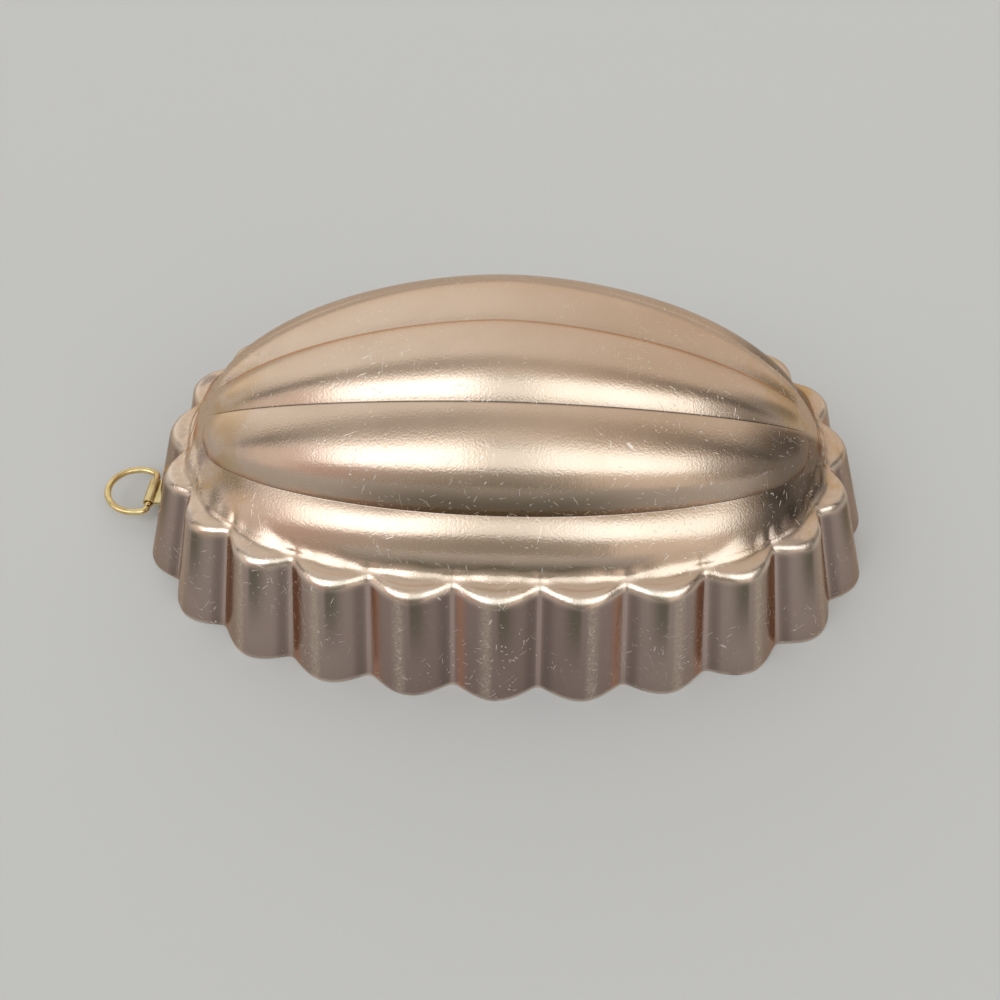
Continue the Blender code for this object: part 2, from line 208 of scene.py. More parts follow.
# Room and camera
FLOOR_RADIUS = 4.0
CAMERA_AZIMUTH = math.radians(-2.9150)  # the camera looks along +Y, turned a little and down
CAMERA_ELEVATION = math.radians(48.3047)
CAMERA_ROLL = math.radians(-0.4774)
CAMERA_OFFSET = (0.001494, 0.002164, 0.31054)  # the mould's foot from the camera: right, down, ahead
CAMERA_FOCUS = 1081.949 / 1000  # focal length over the picture's width
SENSOR_WIDTH = 36.0
NEAREST_VIEW = 0.01


def flutes_along():
    """Place of each point round the skirt, counted in flutes, crowded towards the valleys."""
    place = np.arange(AROUND) / STEPS_PER_FLUTE
    return place + VALLEY_CROWDING * np.sin(2 * math.pi * place) / (2 * math.pi)


def oval_samples(half_length, half_width, power):
    """Closely spaced points of an oval, from the -X tip round the front to the +X tip."""
    turn = np.linspace(0.0, math.pi, LENGTH_SAMPLES + 1)
    x = -half_length * np.sign(np.cos(turn)) * np.abs(np.cos(turn)) ** (2 / power)
    y = -half_width * np.abs(np.sin(turn)) ** (2 / power)
    return x, y


def rim_valleys():
    """Points of the line through the valleys at the rim, front half, and its outward normals."""
    half_sizes = (RIM_LENGTH / 2 - FLUTE_DEPTH, RIM_WIDTH / 2 - FLUTE_DEPTH)
    x, y = oval_samples(*half_sizes, OVAL_POWER)
    run = np.concatenate([[0.0], np.cumsum(np.hypot(np.diff(x), np.diff(y)))])
    place = np.append(flutes_along()[:HALF_AROUND], FLUTE_COUNT / 2)
    wanted = run[-1] * place / (FLUTE_COUNT / 2)
    points = np.stack([np.interp(wanted, run, x), np.interp(wanted, run, y)], axis=1)
    points[[0, -1], 1] = 0.0
    slope = np.sign(points) * np.abs(points / half_sizes) ** (OVAL_POWER - 1) / half_sizes
    return points, unit(slope)


def ledge_valleys():
    """The same points at the ledge. Each flute runs square to the rim and leans in by its draft."""
    points, normals = rim_valleys()
    facing_end = normals[:, :1] ** 2
    draft = facing_end * math.tan(DRAFT_AT_ENDS) + (1 - facing_end) * math.tan(DRAFT_AT_SIDES)
    return points - (SKIRT_HEIGHT - LIP_HEIGHT) * draft * normals


def full_loop(half):
    """The front half, and its mirror image for the back half."""
    return np.concatenate([half, half[-2:0:-1] * (1.0, -1.0)])


def flute_wave(rounding):
    """0 in a valley, 1 on the middle of a flute, all round the skirt."""
    wave = np.hypot(np.cos(math.pi * flutes_along()), rounding)
    return (wave - rounding) / (math.hypot(1.0, rounding) - rounding)


def dome_foot():
    """Foot of the dome on the ledge, each of its points abreast of a point of the valleys' line."""
    x, y = oval_samples(*DOME_HALF_SIZES, DOME_OVAL_POWER)
    nearest = [np.hypot(valley[0] - x, valley[1] - y).argmin() for valley in ledge_valleys()]
    foot = np.column_stack([x[nearest], y[nearest]])
    foot[[0, -1], 1] = 0.0
    return foot


def fluted_loop(valleys, rounding):
    """A level line round the flutes, given the front half of the line through its valleys."""
    normals = full_loop(rim_valleys()[1])
    return full_loop(valleys) + FLUTE_DEPTH * flute_wave(rounding)[:, None] * normals


def rim_loop():
    """The rim's outline."""
    return fluted_loop(rim_valleys()[0], VALLEY_ROUNDING_AT_RIM)


def ledge_loop():
    """Where the flutes would meet a level ledge with no roundings."""
    return fluted_loop(ledge_valleys(), VALLEY_ROUNDING_AT_LEDGE)


def level(points, height):
    """Flat points put at a height."""
    return np.column_stack([points, np.full(len(points), height)])


def unit(vectors):
    """The vectors, each made one long."""
    return vectors / np.linalg.norm(vectors, axis=-1, keepdims=True)


DOME_HALF_SIZES = np.abs(ledge_valleys()).max(axis=0) - (LEDGE_AT_ENDS, LEDGE_AT_SIDES)
UP = np.array([0.0, 0.0, 1.0])


class Ledge:
    """Sizes of the ledge at each point round the mould. It falls away steeply into the valleys."""

    def __init__(self):
        self.foot = level(full_loop(dome_foot()), SKIRT_HEIGHT)
        corner = level(ledge_loop(), SKIRT_HEIGHT)
        self.lip_top = level(rim_loop(), LIP_HEIGHT)
        self.outward = unit(corner - self.foot)
        self.downward = unit(self.lip_top - corner)
        share = np.clip(flute_wave(VALLEY_ROUNDING_AT_LEDGE) / SLOPE_REACH, 0.0, 1.0)
        slope = (VALLEY_SLOPE * (1 - share ** 2 * (3 - 2 * share)))[:, None]
        run = np.linalg.norm(corner - self.foot, axis=1, keepdims=True)
        self.lift = np.tan(slope) * run / 2
        self.corner = corner + self.downward * self.lift / -self.downward[:, 2:]
        raised_foot = self.foot + self.lift * UP
        self.along = unit(self.corner - raised_foot)
        room = np.linalg.norm(self.corner - raised_foot, axis=1, keepdims=True)

        # Hollow at the dome's foot
        self.hollow_turn = np.arccos(-self.along[:, 2:])
        most = HOLLOW_MOST_OF_LEDGE * room / np.tan(self.hollow_turn / 2)
        self.hollow_radius = np.minimum(FOOT_RADIUS, most)
        self.hollow_reach = self.lift + self.hollow_radius * np.tan(self.hollow_turn / 2)

        # Shoulder
        self.cosine = np.sum(self.along * self.downward, axis=1, keepdims=True)
        self.turn = np.arccos(self.cosine)
        most = SHOULDER_MOST_OF_LEDGE * room / np.tan(self.turn / 2)
        self.radius = np.minimum(SHOULDER_RADIUS, most)
        self.reach = self.radius * np.tan(self.turn / 2)

    def in_hollow(self, base, index, share):
        """A point of the hollow: on the dome's wall at share 0, on the ledge at share 1."""
        angle = share * self.hollow_turn[index]
        radius = self.hollow_radius[index]
        sideways = radius * (1 - np.cos(angle)) * self.outward[index]
        return base + sideways + (self.hollow_reach[index] - radius * np.sin(angle)) * UP


def skirt_rows(ledge):
    """Rows of points from the hollow at the dome's foot over ledge and shoulder down to the rim.

    Returns the rows and, for each, how worn it is, from 0 to 1.
    """
    shares = np.linspace(DOME_SHARE_OF_HOLLOW, 1.0, FOOT_STEPS + 1)
    rows = [ledge.in_hollow(ledge.foot, slice(None), share) for share in shares]
    flat_start = rows[-1]
    start = ledge.corner - ledge.along * ledge.reach
    for share in np.linspace(0.0, 1.0, LEDGE_STEPS + 1)[1:-1]:
        rows.append(flat_start + share * (start - flat_start))
    worn = [0.0] * len(rows)
    bend = (ledge.downward - ledge.cosine * ledge.along) / np.sin(ledge.turn)
    for share in np.linspace(0.0, 1.0, SHOULDER_STEPS + 1):
        angle = share * ledge.turn
        turned = np.sin(angle) * ledge.along + (1 - np.cos(angle)) * bend
        rows.append(start + ledge.radius * turned)
        worn.append(math.sin(math.pi * share) ** 2)
    wall_start = rows[-1]
    for share in np.linspace(0.0, 1.0, WALL_STEPS + 1)[1:]:
        rows.append(wall_start + share * (ledge.lip_top - wall_start))
    for height in np.linspace(LIP_HEIGHT, CUT_EDGE_RADIUS, LIP_STEPS + 1)[1:]:
        rows.append(level(rim_loop(), height))
    return np.array(rows), worn + [0.0] * WALL_STEPS + [1.0] * LIP_STEPS


def lengthwise(x, power):
    """1 at mid-length and 0 at the dome's ends."""
    return np.maximum(1 - np.abs(x / DOME_HALF_SIZES[0]) ** power, 0.0) ** (1 / power)


def crease_points(x, foot_y):
    """Section of the dome at x: front foot, front creases, crest, back creases and back foot."""
    half_width = DOME_HALF_SIZES[1] - CREASE_INSET
    front = [(foot_y, 0.0)]
    for angle, power in zip(CREASE_ANGLES, CREASE_POWERS):
        size = lengthwise(x, power)
        front.append((-half_width * math.cos(angle) * size, CREST_HEIGHT * math.sin(angle) * size))
    front = np.array(front)
    front[-1, 0] = 0.0
    return np.concatenate([front, front[-2::-1] * (-1.0, 1.0)])


def lobe_offset(number, x, shares):
    """How far a lobe lies outside its circular arc, for shares of its chord from its lower end."""
    if number == LOWEST_LOBE:
        fall = LOWEST_LOBE_FALL * min((x / FALL_HALF_LENGTH) ** 2, 1.0)
        return -fall * shares ** 3 * (1 - shares)
    if number == MIDDLE_LOBE:
        return MIDDLE_LOBE_SAG * np.sin(2 * math.pi * shares)
    return -CREST_LOBE_FLAT * shares ** 3 * (1 - shares)


def arc_between(start, end, rise, offset, shares):
    """Circular arc from start to end that rises by so much to its left, and lies offset outside it."""
    chord = end - start
    length = np.linalg.norm(chord)
    along = chord / length
    out = np.array([-along[1], along[0]])
    radius = (length ** 2 / 4 + rise ** 2) / (2 * rise)
    half_angle = 2 * math.atan2(2 * rise, length)
    angles = (2 * shares - 1) * half_angle
    middle = (start + end) / 2 + out * (rise - radius)
    arc = middle + radius * (np.sin(angles)[:, None] * along + np.cos(angles)[:, None] * out)
    return arc + length * offset[:, None] * out


def smooth_between(points, index, shares):
    """Smooth curve through the crease points, from the one at index to the next."""
    start, end = points[index], points[index + 1]
    upright = np.array([0.0, np.linalg.norm(points[1] - points[0])])
    last = len(points) - 1
    leave = (points[index + 1] - points[index - 1]) / 2 if index > 0 else upright
    arrive = (points[index + 2] - points[index]) / 2 if index + 1 < last else -upright
    s = shares[:, None]
    return ((2 * s ** 3 - 3 * s ** 2 + 1) * start + (s ** 3 - 2 * s ** 2 + s) * leave
            + (3 * s ** 2 - 2 * s ** 3) * end + (s ** 3 - s ** 2) * arrive)


def lobe_rise(start, end, number, x, is_front):
    """Height of a lobe over its chord. The lowest ones leave the ledge upright at the steepest."""
    length = np.linalg.norm(end - start)
    rise = LOBE_BULGES[number] * length
    if number == MIDDLE_LOBE:
        gain = MIDDLE_BULGE_GAINS[0 if is_front else 1]
        rise += gain * length * max(1 - (x / MIDDLE_HALF_LENGTH) ** 2, 0.0)
    if number == LOWEST_LOBE:
        rise *= 1 - LOWEST_BULGE_LOSS * (x / DOME_HALF_SIZES[0]) ** 2
        lean = math.atan2(abs(end[0] - start[0]), abs(end[1] - start[1]))
        rise = min(rise, length / 2 * math.tan(lean / 2))
    return max(rise, LEAST_BULGE * length)


def lobe_strength(x, shares):
    """1 along a lobe, dropping bluntly to 0 past its rounded tip."""
    crease_end = DOME_HALF_SIZES[0] - PLAIN_END
    tip = crease_end + LOBE_TIP_LEAD * 4 * shares * (1 - shares)
    past = np.clip((abs(x) - (tip - LOBE_TIP_ROUNDING)) / LOBE_TIP_ROUNDING, 0.0, 1.0)
    return np.sqrt(1 - past ** 2)


def rounded_crease(before, crease, after):
    """Three points that round the crease between its neighbours."""
    to_before, to_after = before - crease, after - crease
    shorter = min(np.linalg.norm(to_before), np.linalg.norm(to_after))
    cut = min(CREASE_CUT, CREASE_CUT_MOST * shorter)
    first = crease + cut * unit(to_before)
    last = crease + cut * unit(to_after)
    return [first, (first + 2 * crease + last) / 4, last]


def dome_lobes(x, knots, shares, strength):
    """Section of each lobe at x, with its ends, and how much painted shade each of its points gets."""
    lobes, shades = [], []
    for lobe in range(len(knots) - 1):
        start, end = knots[lobe], knots[lobe + 1]
        number = min(lobe, len(knots) - 2 - lobe)
        is_front = lobe == number
        from_low_end = shares if is_front else 1 - shares
        rise = lobe_rise(start, end, number, x, is_front)
        rounded = arc_between(start, end, rise, lobe_offset(number, x, from_low_end), shares)
        plain = smooth_between(knots, lobe, shares)
        lobes.append(plain + strength * (rounded - plain))
        darkest = 0.0 if number == CREST_LOBE else 1.0
        shades.append(darkest * np.clip(1 - from_low_end / SHADE_REACH, 0.0, 1.0))
    return lobes, shades


def placed_section(ledge, index, section):
    """A section's points in space. Near the ledge the wall leans out into the hollow at its foot."""
    x, foot_y = ledge.foot[index, :2]
    reach = ledge.hollow_reach[index]
    points = level(np.column_stack([np.full(len(section), x), section[:, 0]]), SKIRT_HEIGHT)
    height = np.maximum(section[:, 1:], 0.0)
    back_share = np.clip(0.5 - section[:, :1] / (2 * foot_y), 0.0, 1.0)
    low = DOME_SHARE_OF_HOLLOW * (1 - np.minimum(height / reach, 1.0))
    front = ledge.in_hollow(points, index, low)
    back = ledge.in_hollow(points, -index, low)
    hollow = front + back_share * (back - front)
    return np.where(height < reach, hollow, points + height * UP)


def dome_section(ledge, index):
    """Points over the dome between a point of the front foot and the one behind it, both left out.

    Returns them with how much grime and painted crease shade lies on each, and how much painted shade it
    gets low on its lobe.
    """
    x, foot_y = ledge.foot[index, :2]
    even = np.linspace(0.0, 1.0, STEPS_PER_LOBE + 1)
    shares = even - LOBE_END_CROWDING * np.sin(2 * math.pi * even) / (2 * math.pi)
    strength = lobe_strength(x, shares)[:, None]
    lobes, shades = dome_lobes(x, crease_points(x, foot_y), shares, strength)
    section = list(lobes[0][1:-1])
    grime_and_shade = [0.0] * (STEPS_PER_LOBE - 1)
    shade = list(shades[0][1:-1])
    crest = len(CREASE_ANGLES) - 1
    for crease in range(len(lobes) - 1):
        this, following = lobes[crease:crease + 2]
        section += rounded_crease(this[-2], this[-1], following[1])
        section += list(following[1:-1])
        most = strength[0, 0] * (CREST_GRIME_AND_SHADE if crease == crest else 1.0)
        beside = CREASE_SIDE_GRIME_AND_SHADE * most
        grime_and_shade += [beside, most, beside] + [0.0] * (STEPS_PER_LOBE - 1)
        before, after = shades[crease][-1], shades[crease + 1][0]
        shade += [before, max(before, after), after] + list(shades[crease + 1][1:-1])
    section = np.array(section)
    reach = ledge.hollow_reach[index]
    height = np.maximum(section[:, 1], 0.0)
    shade = np.array(shade) * np.clip((height - SHADE_START * reach) / (SHADE_RUN * reach), 0.0, 1.0)
    return placed_section(ledge, index, section), grime_and_shade, shade


def make_mesh(name, vertices, faces):
    """A smooth-shaded object of these vertices and faces."""
    mesh = bpy.data.meshes.new(name)
    faces = [tuple(int(number) for number in face) for face in faces]
    mesh.from_pydata([tuple(v) for v in vertices], [], faces)
    mesh.validate()
    mesh.shade_smooth()
    new = bpy.data.objects.new(name, mesh)
    bpy.context.scene.collection.objects.link(new)
    return new


def band_faces(rings, flip=False):
    """Quads between closed rings of vertex numbers, each ring and the next."""
    faces = []
    for upper, lower in zip(rings, rings[1:]):
        count = len(upper)
        for this in range(count):
            following = (this + 1) % count
            face = (upper[this], lower[this], lower[following], upper[following])
            faces.append(face[::-1] if flip else face)
    return faces


def dome_faces(sections, flip=False):
    """Faces between sections of vertex numbers, the first and last of which are single points."""
    faces = []
    for this, following in zip(sections, sections[1:]):
        for step in range(max(len(this), len(following)) - 1):
            if len(this) == 1:
                face = (this[0], following[step], following[step + 1])
            elif len(following) == 1:
                face = (this[step], following[0], this[step + 1])
            else:
                face = (this[step], following[step], following[step + 1], this[step + 1])
            faces.append(face[::-1] if flip else face)
    return faces


def outer_sheet(ledge):
    """Outer face of the sheet: points, rows of the skirt, sections of the dome, wear, grime with painted
    crease shade, painted lobe shade.
    """
    rows, worn = skirt_rows(ledge)
    points = rows.reshape(-1, 3)
    count = len(points)
    rings = np.arange(count).reshape(-1, AROUND)
    chunks, sections = [points], [[rings[0][0]]]
    grime_and_shade = [0.0] * count
    shade = [0.0] * count
    for index in range(1, HALF_AROUND):
        middle, middle_grime_and_shade, middle_shade = dome_section(ledge, index)
        chunks.append(middle)
        grime_and_shade += middle_grime_and_shade
        shade += list(middle_shade)
        numbers = range(count, count + len(middle))
        sections.append([rings[0][index], *numbers, rings[0][-index]])
        count += len(middle)
    sections.append([rings[0][HALF_AROUND]])
    return np.concatenate(chunks), rings, sections, worn, grime_and_shade, shade


def inner_sheet(points, rings, sections, normals):
    """Inner face of the sheet: the same rows and sections, fewer of them, one sheet's thickness in.

    Returns its points, its rows of vertex numbers and its faces.
    """
    last = len(rings) - 1
    kept_rows = sorted({0, FOOT_STEPS, *range(FOOT_STEPS + LEDGE_STEPS, last, INSIDE_STRIDE), last})
    inside = points - SHEET * normals
    chunks = [inside[rings[row]] for row in kept_rows]
    chunks[-1][:, 2] = CUT_EDGE_RADIUS
    inner_rings = len(points) + np.arange(len(chunks) * AROUND).reshape(-1, AROUND)
    inner_sections = [[inner_rings[0][0]]]
    count = len(points) + inner_rings.size
    for index in range(1, HALF_AROUND):
        chunks.append(inside[sections[index][2:-1:INSIDE_STRIDE]])
        numbers = range(count, count + len(chunks[-1]))
        inner_sections.append([inner_rings[0][index], *numbers, inner_rings[0][-index]])
        count += len(numbers)
    inner_sections.append([inner_rings[0][HALF_AROUND]])
    faces = band_faces(inner_rings, flip=True) + dome_faces(inner_sections, flip=True)
    return np.concatenate(chunks), inner_rings, faces


def corner_rounding(radius, steps):
    """Steps round a square corner, each told by its distances from the two sides."""
    angles = np.linspace(0.0, math.pi / 2, steps + 1)
    return [(radius * (1 - math.cos(angle)), radius * (1 - math.sin(angle))) for angle in angles]


def trimmed_edge(points, outer_ring, inner_ring):
    """Rounded edge of the sheet between its last rows outside and inside: its points and faces."""
    outer, inner = points[outer_ring], points[inner_ring]
    profile = corner_rounding(CUT_EDGE_RADIUS, CUT_EDGE_STEPS)[1:]
    profile += [(SHEET - reach, height) for reach, height in profile[::-1]]
    chunks = []
    for reach, height in profile:
        chunks.append(outer + (inner - outer) * reach / SHEET)
        chunks[-1][:, 2] = height
    numbers = len(points) + np.arange(len(chunks) * AROUND).reshape(-1, AROUND)
    return np.concatenate(chunks), band_faces([outer_ring, *numbers, inner_ring])


def build_shell():
    """The drawn sheet: its outside, its inside and the cut edge between them."""
    points, rings, sections, worn, grime_and_shade, shade = outer_sheet(Ledge())
    faces = band_faces(rings) + dome_faces(sections)
    outside = make_mesh("outside", points, faces)
    normals = np.array([v.normal for v in outside.data.vertices])
    bpy.data.objects.remove(outside)
    inner_points, inner_rings, inner_faces = inner_sheet(points, rings, sections, normals)
    points = np.concatenate([points, inner_points])
    edge_points, edge_faces = trimmed_edge(points, rings[-1], inner_rings[-1])
    points = np.concatenate([points, edge_points])
    points[:, 0] += MOULD_CENTRE_X
    shell = make_mesh("mould_sheet", points, faces + inner_faces + edge_faces)
    add_wear_and_shade_attributes(shell, rings, worn, grime_and_shade, shade)
    cut_strap_slot(shell)
    return shell


def add_wear_and_shade_attributes(shell, rings, worn, grime_and_shade, shade):
    """Stores for each point what the material needs to know about its place.

    wear is 1 on worn edges, the creases' grime and painted shade is 1 in the creases, shade is 1 at
    the lower end of a lobe, where it is painted shade, crown is 1 on the middle of a flute and 0 in a
    valley, and away is 1 on the flank of a flute that faces away from the painted columns' centre,
    -1 on the other.
    """
    count = len(shell.data.vertices)
    layers = {name: np.zeros(count) for name in ("wear", "grime_and_shade", "shade", "crown", "away")}
    layers["grime_and_shade"][:len(grime_and_shade)] = grime_and_shade
    layers["shade"][:len(shade)] = shade
    off_crown = flutes_along() - np.round(flutes_along())
    x, y = full_loop(rim_valleys()[0]).T
    x = x - COLUMNS_CENTRE
    for row, numbers in enumerate(rings):
        layers["wear"][numbers] = worn[row]
        layers["crown"][numbers] = 1 - 2 * np.abs(off_crown)
        layers["away"][numbers] = np.sin(2 * math.pi * off_crown) * np.sign(-x * y)
    for name, values in layers.items():
        layer = shell.data.attributes.new(name, "FLOAT", "POINT")
        layer.data.foreach_set("value", values)


def wall_x(y, height):
    """X of the sheet's outer face at the mould's -X end, from the middle of the mould."""
    top = ledge_loop()
    share = np.clip((SKIRT_HEIGHT - height) / (SKIRT_HEIGHT - LIP_HEIGHT), 0.0, 1.0)
    line = top + share * (rim_loop() - top)
    near = line[np.arange(STEPS_PER_FLUTE // 2, -STEPS_PER_FLUTE // 2 - 1, -1)]
    return float(np.interp(y, near[:, 1], near[:, 0]))


def wall_lean():
    """How far the end wall runs towards +X for each unit of height."""
    return (wall_x(0.0, HINGE.z + STRAP_TAIL) - wall_x(0.0, HINGE.z)) / STRAP_TAIL


def cut_strap_slot(shell):
    """Cuts the slot that the strap passes through."""
    slot_height = STRAP_LEAF_GAP + 2 * STRAP_THICKNESS + 2 * SLOT_CLEARANCE
    size = (4 * FLUTE_DEPTH, STRAP_WIDTH + 2 * SLOT_CLEARANCE, slot_height)
    place = (MOULD_CENTRE_X + wall_x(0.0, HINGE.z), HINGE.y, HINGE.z)
    placing = Matrix.Translation(place) @ Matrix.Diagonal((*size, 1.0))
    shape = bmesh.new()
    bmesh.ops.create_cube(shape, size=1.0, matrix=placing)
    lengthways = [e for e in shape.edges if abs(e.verts[0].co.x - e.verts[1].co.x) > size[0] / 2]
    bmesh.ops.bevel(shape, geom=lengthways, offset=SLOT_CORNER_RADIUS, segments=SLOT_CORNER_STEPS,
                    affect="EDGES", profile=0.5)
    mesh = bpy.data.meshes.new("slot_cutter")
    shape.to_mesh(mesh)
    shape.free()
    cutter = bpy.data.objects.new("slot_cutter", mesh)
    bpy.context.scene.collection.objects.link(cutter)
    cut = shell.modifiers.new("slot", "BOOLEAN")
    cut.operation = "DIFFERENCE"
    cut.solver = "EXACT"
    cut.object = cutter
    depsgraph = bpy.context.evaluated_depsgraph_get()
    done = bpy.data.meshes.new_from_object(shell.evaluated_get(depsgraph), depsgraph=depsgraph)
    shell.modifiers.clear()
    shell.data = done
    bpy.data.objects.remove(cutter)


def arc_points(middle_x, middle_y, radius, angles):
    """Flat points round a circle at these angles."""
    return [(middle_x + radius * math.cos(angle), middle_y + radius * math.sin(angle)) for angle in angles]


def ring_path():
    """Middle of the wire, as (out from the hinge, across), from one butt end to the other."""
    corner = RING_CORNER_RADIUS
    across = math.sqrt((RING_RADIUS - corner) ** 2 - (RING_CENTRE_OUT - corner) ** 2)
    tangent = math.atan2(across, corner - RING_CENTRE_OUT)
    straight = np.linspace(RING_BUTT_GAP / 2 - across, across, RING_STRAIGHT_STEPS, endpoint=False)
    first_turn = np.linspace(math.pi, tangent, RING_CORNER_STEPS, endpoint=False)
    bow = np.linspace(tangent, -tangent, RING_BOW_STEPS + 1)
    last_turn = np.linspace(-tangent, -math.pi, RING_CORNER_STEPS + 1)[1:-1]
    path = [(0.0, y) for y in straight]
    path += arc_points(corner, across, corner, first_turn)
    path += arc_points(RING_CENTRE_OUT, 0.0, RING_RADIUS, bow)
    path += arc_points(corner, -across, corner, last_turn)
    path.append((0.0, -across - RING_BUTT_GAP / 2))
    return np.array(path)


def outline_places(path, end_radius, end_steps):
    """Where the outline of a wire or strip is put along a flat path.

    Each place is a point, the sideways direction there and how much the outline is shrunk on each
    side. It shrinks only over the last bit at both cut ends, to round them.
    """
    tangents = unit(np.gradient(path, axis=0))
    sideways = np.column_stack([-tangents[:, 1], tangents[:, 0]])
    ends = corner_rounding(end_radius, end_steps)[:-1]
    places = [(path[0] + back * tangents[0], sideways[0], less) for back, less in ends]
    places += [(point, side, 0.0) for point, side in zip(path[1:-1], sideways[1:-1])]
    places += [(path[-1] - back * tangents[-1], sideways[-1], less) for back, less in ends[::-1]]
    return places


def build_ring():
    """D-shaped ring of round wire with rounded cut ends, raised by its rest tilt."""
    path = ring_path()
    turn = np.linspace(0.0, 2 * math.pi, WIRE_SIDES, endpoint=False)
    rings = []
    for point, sideways, less in outline_places(path, WIRE_END_RADIUS, WIRE_END_STEPS):
        size = WIRE_RADIUS - less
        flat = point + size * np.cos(turn)[:, None] * sideways
        rings.append(np.column_stack([flat, size * np.sin(turn)]))
    points = np.concatenate([*rings, [[*path[0], 0.0]], [[*path[-1], 0.0]]])
    numbers = np.arange(len(rings) * WIRE_SIDES).reshape(-1, WIRE_SIDES)
    faces = band_faces(numbers)
    first, last = len(points) - 2, len(points) - 1
    for side in range(WIRE_SIDES):
        after = (side + 1) % WIRE_SIDES
        faces.append((first, numbers[0][side], numbers[0][after]))
        faces.append((last, numbers[-1][after], numbers[-1][side]))
    cosine, sine = math.cos(RING_REST_TILT), math.sin(RING_REST_TILT)
    out, across, up = points.T
    x = HINGE.x - out * cosine + up * sine
    z = HINGE.z + out * sine + up * cosine
    return make_mesh("ring_wire", np.column_stack([x, HINGE.y + across, z]), faces)


def strap_leaf(side):
    """Middle of one leaf of the strip in the XZ plane, from the front of the eye to its tail's end."""
    eye_radius = WIRE_RADIUS + EYE_CLEARANCE + STRAP_THICKNESS / 2
    half_gap = (STRAP_LEAF_GAP + STRAP_THICKNESS) / 2
    lean = math.atan(wall_lean())
    far_edge = abs(HINGE.y) + STRAP_WIDTH / 2
    inner_face = MOULD_CENTRE_X + wall_x(far_edge, HINGE.z) + SHEET / math.cos(lean)
    tail_x = inner_face + (FIT_GAP + STRAP_THICKNESS / 2) / math.cos(lean)
    neck = math.asin(half_gap / eye_radius)
    leaf = arc_points(HINGE.x, 0.0, eye_radius, side * np.linspace(math.pi, neck, EYE_STEPS + 1))
    neck_x = leaf[-1][0]
    radius = STRAP_BEND_RADIUS
    turn = math.pi / 2 - side * lean
    bend_x = tail_x + side * half_gap * math.tan(lean) - radius * math.tan(turn / 2)
    for share in NECK_PLACES:
        leaf.append((neck_x + share * (bend_x - neck_x), side * half_gap))
    for angle in np.linspace(0.0, turn, BEND_STEPS + 1):
        height = half_gap + radius * (1 - math.cos(angle))
        leaf.append((bend_x + radius * math.sin(angle), side * height))
    end_x, end_z = leaf[-1]
    for reach in np.linspace(0.0, STRAP_TAIL, TAIL_STEPS + 1)[1:]:
        leaf.append((end_x + side * reach * math.sin(lean), end_z + side * reach * math.cos(lean)))
    return leaf


def strap_outline():
    """Cross-section of the strip with rounded edges, as (along its width, through it)."""
    y = STRAP_WIDTH / 2 - STRAP_EDGE_RADIUS
    through = STRAP_THICKNESS / 2 - STRAP_EDGE_RADIUS
    outline = []
    for quarter, corner in enumerate(((y, through), (-y, through), (-y, -through), (y, -through))):
        angles = np.linspace(0.0, math.pi / 2, STRAP_EDGE_STEPS + 1) + quarter * math.pi / 2
        outline += arc_points(*corner, STRAP_EDGE_RADIUS, angles)
    return np.array(outline)


def build_strap():
    """One brass strip, folded round the ring's straight side, its tails spread inside the mould."""
    path = np.array(strap_leaf(-1)[:0:-1] + strap_leaf(1))
    outline = strap_outline()
    half_sizes = np.array([STRAP_WIDTH / 2, STRAP_THICKNESS / 2])
    rings = []
    for point, normal, less in outline_places(path, STRAP_EDGE_RADIUS, STRAP_EDGE_STEPS):
        y, through = (outline * (1 - less / half_sizes)).T
        flat = point + through[:, None] * normal
        rings.append(np.column_stack([flat[:, 0], HINGE.y + y, HINGE.z + flat[:, 1]]))
    points = np.concatenate(rings)
    numbers = np.arange(len(points)).reshape(-1, len(outline))
    faces = band_faces(numbers, flip=True)
    faces.append(numbers[0][::-1])
    faces.append(numbers[-1])
    return make_mesh("strap_strip", points, faces)


